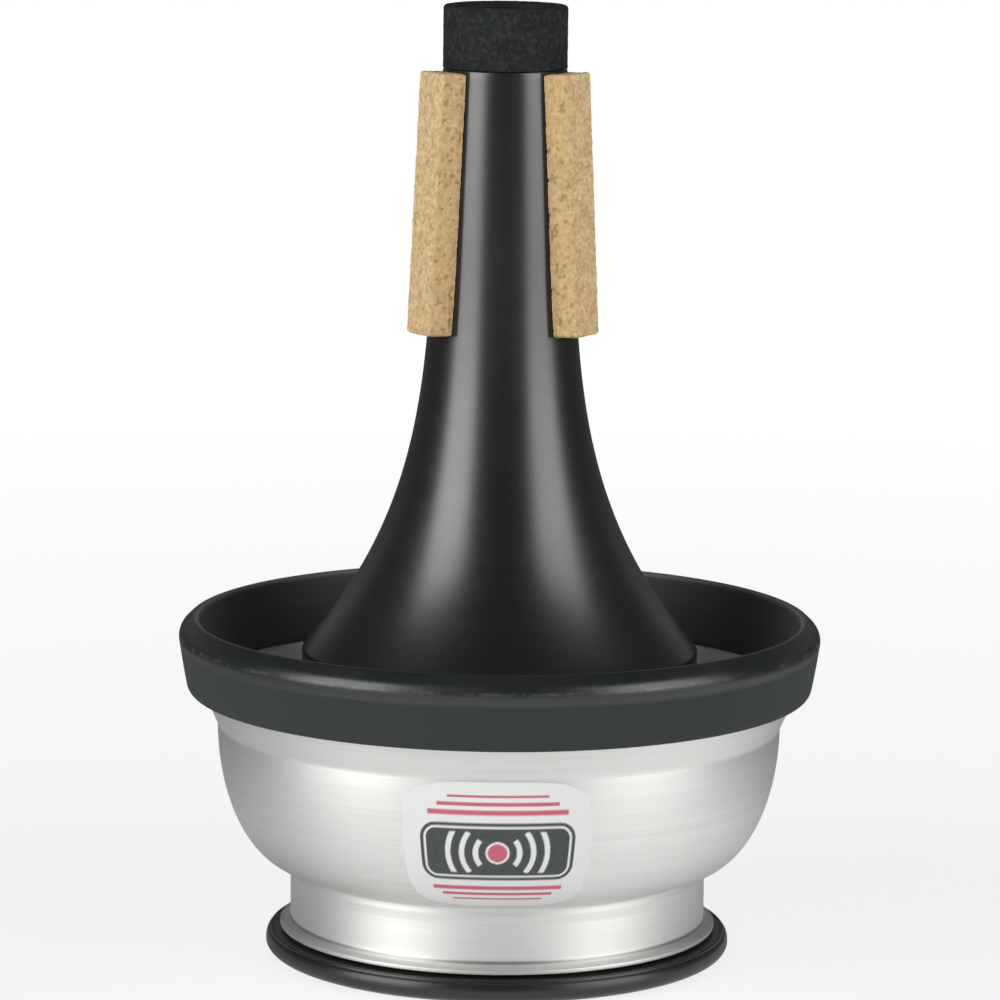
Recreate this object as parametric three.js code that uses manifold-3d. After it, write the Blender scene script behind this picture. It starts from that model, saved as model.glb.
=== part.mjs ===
// Adjustable cup mute for a trumpet, standing on its base ring with the nose up.
// Lengths are millimetres. The origin is the centre of the base ring's foot, +Z runs along the axis
// towards the nose, and the label on the cup faces -Y.
import * as THREE from 'three';
import Module from 'manifold-3d';
import { mergeVertices } from 'three/addons/utils/BufferGeometryUtils.js';

const wasm = await Module();
wasm.setup();

// Faceting: steps in a full turn, in a rounded corner and along the long curves
const turnSteps = 48;
const arcSteps = 2;
const flareSteps = 8;
const flareCrowding = 1.25; // over 1, the flare's steps crowd towards the shoulder, where it turns most
const bowlSteps = 7;
const rimSteps = 2;
const labelRows = 8;
const labelColumns = 8;

// Clearances
const fitGap = 0.3; // between pieces that sit on or in each other
const slideGap = 0.3; // between the barrel and the sleeve that runs on it

// Body: a thin spun shell, from the flange under the barrel to the spigot at the nose
const bodyWall = 0.8;
const bendRadius = 0.5; // inside radius of every tight spun bend
const barrelRadius = 38.65;
const barrelLength = 56.6; // from the flange to the shoulder
const shoulderBend = 1.7;
const flareLength = 81; // the flare dies away into the neck this far above the shoulder
const flarePower = 3.2;
const neckRadius = 11.95; // at the ledge under the nose collar
const neckLength = 113.4; // from the shoulder to the ledge
const neckTaperShare = 0.048; // radius that the neck gains for each millimetre down from the ledge
const spigotRadius = 10.4;
const spigotLength = 11.8;

// Nose collar: a soft sleeve pushed over the spigot
const collarRadius = 12.1;
const collarRounding = 0.5;
const collarOverhang = 0.3; // the collar stands this far above the end of the spigot

// Cork strips on the neck
const corkWidth = 9.4;
const corkThickness = 4.5; // at the middle of a strip
const corkLength = 50.5;
const corkDrop = 0.2; // from the ledge down to the strips' top ends
const corkRounding = 0.4;
const corkTurnShares = { cork_left: -5 / 12, cork_right: -1 / 12, cork_back: 1 / 4 }; // of a turn from +X

// Base ring: rubber, gripping the flanges of the body and of the end plate in one slot
const ringFoot = 1.4; // rubber under the slot
const ringLip = 1.0; // rubber over the slot
const ringRim = 2.0; // rubber outside the slot
const ringRounding = 1.5;
const ringFootWidth = 3.0; // how far the foot reaches in under the end plate
const grooveDepth = 0.6;
const grooveWidth = 1.4;
const beadWidth = 1.5; // raised bead at the ring's outer edge
const flangeWidth = 4.55;

// End plate: a spun disc that closes the barrel
const plateWall = 0.8;
const plateStep = 3.0; // how far the disc is set up into the barrel
const plateCrown = 1.3; // rise from the step to the flat centre
const plateCentreRadius = 12;

// Cup: a spun bowl on a straight collar, with a flared rim
const cupWall = 0.8;
const sleeveThickness = 0.65;
const sleeveLength = 10.2;
const lipWidth = 2.0;
const lipBend = 0.8;
const cupCollarLength = 12.7; // from the lip's underside to the crease under the bowl
const rollHeight = 1.9; // the rolled bead just below the crease
const rollDepth = 0.28;
const bowlReach = 14.35; // how far the bowl opens outwards from the crease
const bowlDepth = 27.8;
const rimReach = 5.5; // how far the rim flares out beyond the bowl
const rimHeight = 16;
const rimBowShare = 0.356; // how much the rim's flare is bowed

// Rim ring: a moulded rubber channel pressed over the cup's rim
const innerLegLength = 8.2;
const innerLegThickness = 0.75;
const outerLegLength = 9.8;
const outerLegThickness = 3.1;
const footRounding = 3.0;
const ridgeReach = 2.2; // widest corner, outside the cup's rim
const ridgeRise = 2.2; // widest corner, above the cup's rim
const ridgeRounding = 2.2;
const crestRise = 4.7; // top of the ring above the cup's rim
const crestInset = 1.65; // inner edge of the crest, inside the cup's rim
const crestWidth = 1.35;
const crestRounding = 0.9;
const edgeRounding = 0.35;

// Label: a sticker on the front of the bowl
const labelWidth = 37;
const labelThickness = 0.25;
const labelTopDrop = 0.4; // below the edge between bowl and rim
const labelFootRise = 1.6; // above the crease
const labelSquareness = 4; // exponent of the rounded outline
const labelEndShare = 0.96; // how near its pole the outline is cut off square at top and foot

// Heights and radii that follow from the sizes above
const slotHeight = plateWall + bodyWall + 3 * fitGap;
const plateHeight = ringFoot + fitGap; // underside of the end plate's flange
const flangeHeight = plateHeight + plateWall + fitGap; // underside of the body's flange
const flangeRadius = barrelRadius + flangeWidth;
const ringTop = ringFoot + slotHeight + ringLip;
const ringRadius = flangeRadius + fitGap + ringRim;
const shoulderHeight = flangeHeight + bodyWall + barrelLength;
const ledgeHeight = shoulderHeight + neckLength;
const spigotHeight = ledgeHeight + spigotLength;
const sleeveRadius = barrelRadius + slideGap;
const cupRadius = sleeveRadius + sleeveThickness + fitGap + cupWall;
const cupFoot = ringTop + fitGap;
const creaseHeight = cupFoot + cupCollarLength;
const bowlTop = creaseHeight + bowlDepth;
const bowlRadius = cupRadius + bowlReach;
const rimTop = bowlTop + rimHeight;
const rimRadius = bowlRadius + rimReach;

// Profiles are lists of [radius, height]

// Corners [radius, height, rounding] become a path whose rounded corners are arcs. A rounding is kept
// short enough to leave room for the one at the other end of each side.
function roundedPath(corners, closed = false) {
  const path = [];
  const count = corners.length;
  corners.forEach(([x, y, rounding = 0], index) => {
    const isEnd = !closed && (index === 0 || index === count - 1);
    if (isEnd || rounding === 0) {
      path.push([x, y]);
      return;
    }
    const here = new THREE.Vector2(x, y);
    const toBefore = new THREE.Vector2(...corners[(index + count - 1) % count]).sub(here);
    const toAfter = new THREE.Vector2(...corners[(index + 1) % count]).sub(here);
    const room = Math.min(toBefore.length(), toAfter.length()) / 2;
    const halfAngle = toBefore.angleTo(toAfter) / 2;
    const tangent = Math.min(rounding / Math.tan(halfAngle), room);
    const radius = tangent * Math.tan(halfAngle);
    const start = toBefore.clone().setLength(tangent).add(here);
    const end = toAfter.clone().setLength(tangent).add(here);
    const inward = toBefore.clone().normalize().add(toAfter.clone().normalize()).normalize();
    const centre = inward.multiplyScalar(radius / Math.sin(halfAngle)).add(here);
    const from = start.clone().sub(centre).angle();
    const turn = signedTurn(from, end.clone().sub(centre).angle());
    for (let step = 0; step <= arcSteps; step += 1) {
      const angle = from + (turn * step) / arcSteps;
      path.push([centre.x + radius * Math.cos(angle), centre.y + radius * Math.sin(angle)]);
    }
  });
  return path;
}

// The shorter way round from one angle to another
function signedTurn(from, to) {
  const turn = to - from;
  return Math.atan2(Math.sin(turn), Math.cos(turn));
}

// A path moved sideways to its left by a distance, with mitred corners
function offsetPath(path, distance) {
  const normals = path.slice(1).map(([x, y], index) => {
    const [fromX, fromY] = path[index];
    return new THREE.Vector2(fromY - y, x - fromX).normalize();
  });
  return path.map(([x, y], index) => {
    const before = normals[Math.max(index - 1, 0)];
    const after = normals[Math.min(index, normals.length - 1)];
    const middle = before.clone().add(after).normalize();
    const reach = distance / middle.dot(before);
    return [x + middle.x * reach, y + middle.y * reach];
  });
}

// A sheet of even thickness to the left of a path of corners [radius, height, inside bend radius].
// Where the sheet lies inside the bend, the path itself turns on the larger radius.
function spunSheet(corners, wall) {
  const bent = corners.map((corner, index) => {
    const [x, y, bend = 0] = corner;
    if (bend === 0 || index === 0 || index === corners.length - 1) return [x, y];
    const [beforeX, beforeY] = corners[index - 1];
    const [afterX, afterY] = corners[index + 1];
    const turn = (x - beforeX) * (afterY - y) - (y - beforeY) * (afterX - x);
    return [x, y, turn > 0 ? bend + wall : bend];
  });
  const path = roundedPath(bent);
  return [...path, ...offsetPath(path, wall).reverse()];
}

// A profile turned about the axis. It closes on itself unless it starts and ends on the axis.
function revolve(profile) {
  const touchesAxis = profile[0][0] === 0;
  const closed = touchesAxis ? profile : [...profile, profile[0]];
  const points = closed.map(([radius, height]) => new THREE.Vector2(radius, height));
  return new THREE.LatheGeometry(points, turnSteps).rotateX(Math.PI / 2);
}

// Solids for cutting, and back
function toSolid(geometry) {
  const bare = geometry.clone();
  bare.deleteAttribute('normal');
  bare.deleteAttribute('uv');
  const merged = mergeVertices(bare);
  return new wasm.Manifold(new wasm.Mesh({
    numProp: 3,
    vertProperties: new Float32Array(merged.attributes.position.array),
    triVerts: new Uint32Array(merged.index.array),
  }));
}

function toGeometry(solid) {
  const mesh = solid.getMesh();
  const geometry = new THREE.BufferGeometry();
  geometry.setAttribute('position', new THREE.BufferAttribute(mesh.vertProperties, 3));
  geometry.setIndex(new THREE.BufferAttribute(mesh.triVerts, 1));
  geometry.computeVertexNormals();
  return geometry;
}

// Body

// Outside radius of the neck and flare: a straight taper, plus a power curve that grows from nothing at
// the top of the flare to the barrel's radius at the shoulder.
function neckOutside(height) {
  const taper = neckRadius + neckTaperShare * (ledgeHeight - height);
  const taperAtShoulder = neckRadius + neckTaperShare * neckLength;
  const below = Math.max(0, 1 - (height - shoulderHeight) / flareLength);
  return taper + (barrelRadius - taperAtShoulder) * below ** flarePower;
}

function coneBody() {
  const flangeTop = flangeHeight + bodyWall;
  const flare = [];
  for (let step = 1; step <= flareSteps; step += 1) {
    const height = shoulderHeight + flareLength * (step / flareSteps) ** flareCrowding;
    flare.push([neckOutside(height), height]);
  }
  const outside = [
    [flangeRadius, flangeTop],
    [barrelRadius, flangeTop, bendRadius],
    [barrelRadius, shoulderHeight, shoulderBend],
    ...flare,
    [neckRadius, ledgeHeight, bendRadius],
    [spigotRadius, ledgeHeight, bendRadius],
    [spigotRadius, spigotHeight],
  ];
  return revolve(spunSheet(outside, bodyWall));
}

function noseCollar() {
  const inside = spigotRadius + fitGap;
  const foot = ledgeHeight + fitGap;
  const top = spigotHeight + collarOverhang;
  return revolve(roundedPath([
    [inside, foot],
    [collarRadius, foot, collarRounding],
    [collarRadius, top, collarRounding],
    [inside, top, collarRounding],
  ], true));
}

// One strip, lying along the neck at angle zero: a bar with its two outer edges eased, leaning with the
// neck's taper, and hollowed to the neck so that it beds on it all along.
function corkStrip() {
  const top = ledgeHeight - corkDrop;
  const foot = top - corkLength;
  const footReach = neckOutside(foot) + corkThickness;
  const topReach = neckOutside(top) + corkThickness;
  const lean = Math.atan2(topReach - footReach, corkLength);
  const half = corkWidth / 2;
  const eased = half - corkRounding;
  const section = new THREE.Shape();
  section.moveTo(-footReach, -half);
  section.lineTo(-corkRounding, -half);
  section.quadraticCurveTo(0, -half, 0, -eased);
  section.lineTo(0, eased);
  section.quadraticCurveTo(0, half, -corkRounding, half);
  section.lineTo(-footReach, half);
  const bar = new THREE.ExtrudeGeometry(section, {
    depth: corkLength / Math.cos(lean),
    bevelEnabled: false,
    curveSegments: arcSteps,
  });
  bar.rotateY(lean);
  bar.translate(footReach, 0, foot);
  const below = foot - corkThickness;
  const above = top + corkThickness;
  const bed = [[0, below]];
  for (let step = 0; step <= flareSteps; step += 1) {
    const height = below + ((above - below) * step) / flareSteps;
    bed.push([neckOutside(height) + fitGap, height]);
  }
  bed.push([0, above]);
  return toGeometry(toSolid(bar).subtract(toSolid(revolve(bed))));
}

function endPlate() {
  const stepRadius = barrelRadius - bodyWall - fitGap - plateWall;
  const stepHeight = plateHeight + plateStep;
  const crownHeight = stepHeight + plateCrown;
  const underside = [
    [0, crownHeight],
    [plateCentreRadius, crownHeight],
    [stepRadius, stepHeight, bendRadius],
    [stepRadius, plateHeight, bendRadius],
    [flangeRadius, plateHeight],
  ];
  return revolve(spunSheet(underside, plateWall));
}

function baseRing() {
  const slotRadius = flangeRadius + fitGap;
  const slotTop = ringFoot + slotHeight;
  const lipRadius = barrelRadius + bendRadius + fitGap;
  const footRadius = slotRadius - ringFootWidth;
  const beadRadius = ringRadius - beadWidth;
  const grooveRadius = beadRadius - grooveWidth;
  const grooveFoot = ringTop - grooveDepth;
  return revolve(roundedPath([
    [footRadius, 0],
    [ringRadius, 0, ringRounding],
    [ringRadius, ringTop, ringRounding],
    [beadRadius, ringTop, edgeRounding],
    [beadRadius, grooveFoot],
    [grooveRadius, grooveFoot],
    [grooveRadius, ringTop, edgeRounding],
    [lipRadius, ringTop],
    [lipRadius, slotTop],
    [slotRadius, slotTop],
    [slotRadius, ringFoot],
    [footRadius, ringFoot],
  ], true));
}

// Cup

function gripSleeve() {
  const inside = sleeveRadius;
  const outside = sleeveRadius + sleeveThickness;
  const foot = cupFoot + lipWidth / 2;
  const top = foot + sleeveLength;
  return revolve([[inside, foot], [outside, foot], [outside, top], [inside, top]]);
}

// Outside of the bowl: a quarter ellipse, level at the crease and upright where the rim begins
function bowlPoint(angle, lift = 0) {
  const slope = new THREE.Vector2(bowlDepth * Math.sin(angle), -bowlReach * Math.cos(angle)).normalize();
  return [
    cupRadius + bowlReach * Math.sin(angle) + lift * slope.x,
    bowlTop - bowlDepth * Math.cos(angle) + lift * slope.y,
  ];
}

// Outside of the rim, moved outwards square to it: a flare that starts steep and straightens upwards
function rimPoint(height, lift = 0) {
  const share = (height - bowlTop) / rimHeight;
  const slope = (rimReach / rimHeight) * (1 + rimBowShare * (1 - 2 * share));
  const reach = rimReach * share * (1 + rimBowShare * (1 - share));
  return [bowlRadius + reach + lift * Math.hypot(1, slope), height];
}

function cupShell() {
  const lipTop = cupFoot + cupWall;
  const bowl = [];
  for (let step = 1; step <= bowlSteps; step += 1) {
    bowl.push(bowlPoint((Math.PI / 2) * (step / bowlSteps)));
  }
  const rim = [];
  for (let step = 1; step <= rimSteps; step += 1) {
    rim.push(rimPoint(bowlTop + (rimHeight * step) / rimSteps));
  }
  const outside = [
    [cupRadius + lipWidth, lipTop],
    [cupRadius, lipTop, lipBend],
    [cupRadius, creaseHeight - rollHeight],
    [cupRadius + rollDepth, creaseHeight - rollHeight / 2],
    [cupRadius, creaseHeight, rollDepth],
    ...bowl,
    ...rim,
  ];
  return revolve(spunSheet(outside, cupWall));
}

function rimRing() {
  const footHeight = rimTop - outerLegLength;
  const legHeight = rimTop - innerLegLength;
  const slotTop = rimTop + fitGap;
  const crest = rimTop + crestRise;
  const [footInside] = rimPoint(footHeight, fitGap);
  const [legOutside] = rimPoint(legHeight, -cupWall - fitGap);
  const slot = [];
  for (let step = 0; step <= rimSteps; step += 1) {
    const height = legHeight + ((slotTop - legHeight) * step) / rimSteps;
    slot.push(rimPoint(height, -cupWall - fitGap));
  }
  for (let step = 0; step < rimSteps; step += 1) {
    const height = slotTop + ((footHeight - slotTop) * step) / rimSteps;
    slot.push(rimPoint(height, fitGap));
  }
  return revolve(roundedPath([
    [footInside, footHeight, 0],
    [footInside + outerLegThickness, footHeight, footRounding],
    [rimRadius + ridgeReach, rimTop + ridgeRise, ridgeRounding],
    [rimRadius - crestInset + crestWidth, crest, crestRounding],
    [rimRadius - crestInset, crest, crestRounding],
    [legOutside - innerLegThickness, legHeight, edgeRounding],
    ...slot,
  ], true));
}

// The label is a thin patch that follows the bowl. Its outline is a rounded rectangle: at a height share
// v from its middle, its half width is (1 - |v|^n)^(1/n) of the full one.
function labelPatch() {
  const top = bowlTop - labelTopDrop;
  const foot = creaseHeight + labelFootRise;
  const middle = (top + foot) / 2;
  const halfAngle = labelWidth / 2 / bowlRadius;
  const positions = [];
  for (const lift of [fitGap, fitGap + labelThickness]) {
    for (let row = 0; row <= labelRows; row += 1) {
      const share = Math.sin((Math.PI / 2) * labelEndShare * ((2 * row) / labelRows - 1));
      const height = middle + (share * (top - foot)) / 2;
      const [radius, z] = bowlPoint(Math.acos((bowlTop - height) / bowlDepth), lift);
      const width = (1 - Math.abs(share) ** labelSquareness) ** (1 / labelSquareness);
      for (let column = 0; column <= labelColumns; column += 1) {
        const angle = halfAngle * width * ((2 * column) / labelColumns - 1) - Math.PI / 2;
        positions.push(radius * Math.cos(angle), radius * Math.sin(angle), z);
      }
    }
  }
  const geometry = new THREE.BufferGeometry();
  geometry.setAttribute('position', new THREE.Float32BufferAttribute(positions, 3));
  geometry.setIndex(patchFaces(labelRows, labelColumns));
  geometry.computeVertexNormals();
  return geometry;
}

// Triangles of a closed patch: an inner grid, the same grid outside it, and the wall round their edges
function patchFaces(rows, columns) {
  const faces = [];
  const vertex = (side, row, column) => (side * (rows + 1) + row) * (columns + 1) + column;
  const quad = (a, b, c, d) => faces.push(a, b, c, a, c, d);
  for (let row = 0; row < rows; row += 1) {
    for (let column = 0; column < columns; column += 1) {
      const inner = [[0, 0], [1, 0], [1, 1], [0, 1]].map(([r, c]) => vertex(0, row + r, column + c));
      const outer = [[0, 0], [0, 1], [1, 1], [1, 0]].map(([r, c]) => vertex(1, row + r, column + c));
      quad(...inner);
      quad(...outer);
    }
    quad(vertex(0, row, 0), vertex(1, row, 0), vertex(1, row + 1, 0), vertex(0, row + 1, 0));
    quad(
      vertex(0, row, columns),
      vertex(0, row + 1, columns),
      vertex(1, row + 1, columns),
      vertex(1, row, columns),
    );
  }
  for (let column = 0; column < columns; column += 1) {
    quad(vertex(0, 0, column), vertex(0, 0, column + 1), vertex(1, 0, column + 1), vertex(1, 0, column));
    quad(
      vertex(0, rows, column),
      vertex(1, rows, column),
      vertex(1, rows, column + 1),
      vertex(0, rows, column + 1),
    );
  }
  return faces;
}

const materials = {
  lacquer: new THREE.MeshStandardMaterial({ color: 0x1b1d1d, roughness: 0.3, metalness: 0 }),
  collarFoam: new THREE.MeshStandardMaterial({ color: 0x2c2f2e, roughness: 0.9, metalness: 0 }),
  cork: new THREE.MeshStandardMaterial({ color: 0xd3b080, roughness: 0.95, metalness: 0 }),
  aluminium: new THREE.MeshStandardMaterial({ color: 0xd6d6d4, roughness: 0.35, metalness: 1 }),
  rimRubber: new THREE.MeshStandardMaterial({ color: 0x3d4242, roughness: 0.6, metalness: 0 }),
  baseRubber: new THREE.MeshStandardMaterial({ color: 0x222626, roughness: 0.45, metalness: 0 }),
  felt: new THREE.MeshStandardMaterial({ color: 0x3a3a3a, roughness: 1, metalness: 0 }),
  label: new THREE.MeshStandardMaterial({ color: 0xf1efee, roughness: 0.5, metalness: 0 }),
};

const mute = new THREE.Group();

function addPiece(name, geometry, material) {
  const mesh = new THREE.Mesh(geometry, material);
  mesh.name = name;
  mute.add(mesh);
  return mesh;
}

addPiece('cone_body', coneBody(), materials.lacquer);
addPiece('nose_collar', noseCollar(), materials.collarFoam);
for (const [name, turnShare] of Object.entries(corkTurnShares)) {
  const strip = addPiece(name, corkStrip(), materials.cork);
  strip.rotation.z = 2 * Math.PI * turnShare;
}
addPiece('end_plate', endPlate(), materials.aluminium);
addPiece('base_ring', baseRing(), materials.baseRubber);
addPiece('grip_sleeve', gripSleeve(), materials.felt);
addPiece('cup_shell', cupShell(), materials.aluminium);
addPiece('rim_ring', rimRing(), materials.rimRubber);
addPiece('label', labelPatch(), materials.label);

export default mute;
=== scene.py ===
import bmesh
import bpy
import numpy as np
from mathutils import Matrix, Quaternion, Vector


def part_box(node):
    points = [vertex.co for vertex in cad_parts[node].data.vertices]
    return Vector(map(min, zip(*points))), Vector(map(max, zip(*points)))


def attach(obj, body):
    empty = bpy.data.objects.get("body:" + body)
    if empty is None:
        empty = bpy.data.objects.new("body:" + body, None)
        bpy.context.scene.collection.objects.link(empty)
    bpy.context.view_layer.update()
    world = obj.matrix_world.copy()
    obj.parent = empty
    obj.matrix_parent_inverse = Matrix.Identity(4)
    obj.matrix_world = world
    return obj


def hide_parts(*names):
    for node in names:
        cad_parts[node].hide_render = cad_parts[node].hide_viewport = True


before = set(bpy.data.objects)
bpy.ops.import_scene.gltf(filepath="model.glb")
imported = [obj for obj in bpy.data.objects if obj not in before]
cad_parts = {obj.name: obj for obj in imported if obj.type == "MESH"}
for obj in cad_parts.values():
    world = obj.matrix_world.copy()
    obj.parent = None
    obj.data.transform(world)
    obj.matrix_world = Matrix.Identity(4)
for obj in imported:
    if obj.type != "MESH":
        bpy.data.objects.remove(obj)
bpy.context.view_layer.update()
mm = 0.001

# Adjustable cup mute for a trumpet. Profiles are worked out in millimetres as rows of
# [radius, height], from the CAD nodes' own boxes and each piece's values, and become metres in the mesh.


# Sizes that come from the frame

def reach(node):
    # outer radius of a node: the far side of its box in X
    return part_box(node)[1][0] / mm


def foot(node):
    # lowest height of a node's box
    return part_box(node)[0][2] / mm


def top(node):
    # highest height of a node's box
    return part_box(node)[1][2] / mm


# Camera

cameraValues = {
    "place": (-0.0002, -1.0, 0.2524),   # metres, in front of the label
    "down": 9.257,                      # degrees below level
    "roll": 0.568,                      # degrees; the mute leans a little to the right in the frame
    "focal": 5201.4,                    # focal length in pixels of the 1000 pixel frame
    "frame": 1000,                      # pixels
    "sensor": 36,                       # millimetres
    "clip": (0.05, 60),                 # metres: the nearest and the farthest that it sees
}


def makeCamera(values):
    # lens = focal pixels over frame pixels, times the sensor's width
    camera = bpy.data.objects.new("camera", bpy.data.cameras.new("camera"))
    bpy.context.scene.collection.objects.link(camera)
    camera.data.sensor_width = values["sensor"]
    camera.data.lens = values["focal"] / values["frame"] * values["sensor"]
    camera.data.clip_start, camera.data.clip_end = values["clip"]
    camera.location = values["place"]
    camera.rotation_mode = "QUATERNION"
    tilt = Quaternion((1, 0, 0), np.radians(90 - values["down"]))
    camera.rotation_quaternion = tilt @ Quaternion((0, 0, 1), np.radians(values["roll"]))
    bpy.context.scene.camera = camera


makeCamera(cameraValues)
print("camera made")


# Profiles

def roundedPath(corners, steps=6, closed=False):
    # each corner [x, y, rounding] with a rounding becomes an arc tangent to both sides, cut short
    # where a side has no room for it
    points = np.array([corner[:2] for corner in corners], float)
    roundings = [corner[2] if len(corner) > 2 else 0 for corner in corners]
    count = len(points)
    path = []
    for index, (here, rounding) in enumerate(zip(points, roundings)):
        atEnd = not closed and index in (0, count - 1)
        if atEnd or rounding == 0:
            path.append(here[None])
            continue
        before = points[index - 1] - here
        after = points[(index + 1) % count] - here
        room = min(np.hypot(*before), np.hypot(*after)) / 2
        before, after = before / np.hypot(*before), after / np.hypot(*after)
        half = np.arccos(np.clip(before @ after, -1, 1)) / 2
        tangent = min(rounding / np.tan(half), room)
        radius = tangent * np.tan(half)
        inward = (before + after) / np.hypot(*(before + after))
        centre = here + inward * radius / np.sin(half)
        start = here + before * tangent - centre
        end = here + after * tangent - centre
        begin = np.arctan2(start[1], start[0])
        turn = np.arctan2(end[1], end[0]) - begin
        turn = np.arctan2(np.sin(turn), np.cos(turn))
        angles = begin + turn * np.linspace(0, 1, steps + 1)
        path.append(centre + radius * np.column_stack([np.cos(angles), np.sin(angles)]))
    return np.concatenate(path)


def offsetPath(path, distance):
    # every point moved along the mean of its two sides' left normals, mitred so that the gap is even
    side = np.diff(path, axis=0)
    normal = np.column_stack([-side[:, 1], side[:, 0]]) / np.hypot(*side.T)[:, None]
    before = np.concatenate([normal[:1], normal])
    after = np.concatenate([normal, normal[-1:]])
    middle = before + after
    middle /= np.hypot(*middle.T)[:, None]
    return path + middle * (distance / np.sum(middle * before, axis=1))[:, None]


def spunSheet(corners, wall):
    # the two sides of an even wall to the left of a path of corners [x, y, inside bend radius]; in a
    # left turn the path is the outer side, so its own radius there is the bend's plus the wall
    bent = []
    for index, corner in enumerate(corners):
        x, y, bend = (*corner, 0)[:3]
        if bend and 0 < index < len(corners) - 1:
            (x0, y0), (x1, y1) = corners[index - 1][:2], corners[index + 1][:2]
            turn = (x - x0) * (y1 - y) - (y - y0) * (x1 - x)
            bend += wall if turn > 0 else 0
        bent.append([x, y, bend])
    path = roundedPath(bent)
    return path, offsetPath(path, wall)


def edgeRounded(path, inner, rounding):
    # joins the two sides of a sheet, with each cut edge eased by a small arc at both its corners
    corners = [[*p, 0] for p in path] + [[*p, 0] for p in inner[::-1]]
    for index in (0, len(path) - 1, len(path), -1):
        corners[index][2] = rounding
    return roundedPath(corners, steps=3, closed=True)


def finely(profile, spacing, closed=True):
    # points added along every side longer than the spacing, evenly
    ends = np.concatenate([profile[1:], profile[:1]]) if closed else profile[1:]
    starts = profile if closed else profile[:-1]
    pieces = []
    for start, end in zip(starts, ends):
        count = max(1, int(np.ceil(np.hypot(*(end - start)) / spacing)))
        share = np.arange(count)[:, None] / count
        pieces.append(start + (end - start) * share)
    if not closed:
        pieces.append(profile[-1:])
    return np.concatenate(pieces)


def lengthAlong(path):
    # running length of a path at each of its points
    return np.concatenate([[0], np.cumsum(np.hypot(*np.diff(path, axis=0).T))])


# Meshes

def gridMesh(name, points, closedAcross=True, closedAlong=True):
    # points is a grid [along, across, 3] in millimetres; its quads join each row to the next, and
    # the last row and column to the first where the surface closes on itself
    along, across = points.shape[:2]
    rows = np.arange(along if closedAlong else along - 1)
    columns = np.arange(across if closedAcross else across - 1)
    row, column = np.meshgrid(rows, columns, indexing="ij")
    nextRow, nextColumn = (row + 1) % along, (column + 1) % across
    faces = np.stack([
        row * across + column, row * across + nextColumn,
        nextRow * across + nextColumn, nextRow * across + column,
    ], axis=-1).reshape(-1, 4)
    mesh = bpy.data.meshes.new(name)
    mesh.vertices.add(along * across)
    mesh.vertices.foreach_set("co", (points.reshape(-1) * mm).astype(np.float32))
    mesh.loops.add(faces.size)
    mesh.loops.foreach_set("vertex_index", faces.reshape(-1).astype(np.int32))
    mesh.polygons.add(len(faces))
    mesh.polygons.foreach_set("loop_start", np.arange(0, faces.size, 4, dtype=np.int32))
    mesh.update(calc_edges=True)
    mesh.validate()
    return mesh


def addPiece(name, mesh, material, sharpAngle=40):
    # a shown object at the origin, smooth but for edges sharper than the angle
    mesh.materials.append(material)
    mesh.shade_smooth()
    mesh.set_sharp_from_angle(angle=np.radians(sharpAngle))
    piece = bpy.data.objects.new(name, mesh)
    bpy.context.scene.collection.objects.link(piece)
    return piece


def addMark(mesh, name, amount):
    # a number from 0 to 1 at each point, which a material reads
    layer = mesh.attributes.new(name, "FLOAT", "POINT")
    layer.data.foreach_set("value", amount.reshape(-1).astype(np.float32))


def carriedRound(radius, height, angle):
    # x = r cos a, y = r sin a, z = h
    return np.stack([radius * np.cos(angle), radius * np.sin(angle), height + 0 * angle], axis=-1)


def lathe(name, profile, material, columns=192, closed=True, shape=None, sharpAngle=40):
    # radius and height of the profile carried round the axis in even columns; shape, where given,
    # moves the grid's points before the mesh is made
    angle = np.linspace(0, 2 * np.pi, columns, endpoint=False)
    points = carriedRound(profile[:, :1], profile[:, 1:], angle)
    if shape is not None:
        points = shape(points)
    mesh = gridMesh(name, points, closedAlong=closed)
    if not closed:
        closePoles(mesh)
    return addPiece(name, mesh, material, sharpAngle)


def closePoles(mesh):
    # a row whose points all lie on one spot becomes one point
    work = bmesh.new()
    work.from_mesh(mesh)
    bmesh.ops.remove_doubles(work, verts=work.verts, dist=1e-7)
    work.to_mesh(mesh)
    work.free()


def outwards(along, across):
    # unit vectors square to the two directions of a grid: their cross product over its own length
    normal = np.cross(across, along)
    return normal / (np.linalg.norm(normal, axis=-1, keepdims=True) + 1e-9)


def pointNoise(points, scale, seed):
    # smooth noise from -1 to 1: a value at each point of a lattice of the given cell size in
    # millimetres, mixed from its whole numbers and the seed, and blended across each cell by 3t^2 - 2t^3
    cell = points / scale
    base = np.floor(cell).astype(np.int64)
    share = cell - base
    share = share * share * (3 - 2 * share)
    total = np.zeros(points.shape[:-1])
    for corner in np.ndindex(2, 2, 2):
        lattice = base + corner
        mixed = (lattice[..., 0] * 73856093) ^ (lattice[..., 1] * 19349663)
        mixed = mixed ^ (lattice[..., 2] * 83492791) ^ (seed * 2654435761)
        mixed = (mixed ^ (mixed >> 13)) * 1274126177
        value = ((mixed ^ (mixed >> 16)) & 0xFFFF) / 32767.5 - 1
        weight = np.prod(np.where(corner, share, 1 - share), axis=-1)
        total += value * weight
    return total


# Materials

def newMaterial(name):
    # a material with its node tree and its shader
    material = bpy.data.materials.new(name)
    material.use_nodes = True
    return material, material.node_tree, material.node_tree.nodes["Principled BSDF"]


def setInputs(tree, node, inputs):
    # each input gets its value, or a link where the value is another node's socket
    for key, value in inputs.items():
        if isinstance(value, bpy.types.NodeSocket):
            tree.links.new(value, node.inputs[key])
        else:
            node.inputs[key].default_value = value


def addNode(tree, kind, inputs=None, **settings):
    # a node with its settings and its inputs
    node = tree.nodes.new(kind)
    for key, value in settings.items():
        setattr(node, key, value)
    setInputs(tree, node, inputs or {})
    return node


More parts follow.
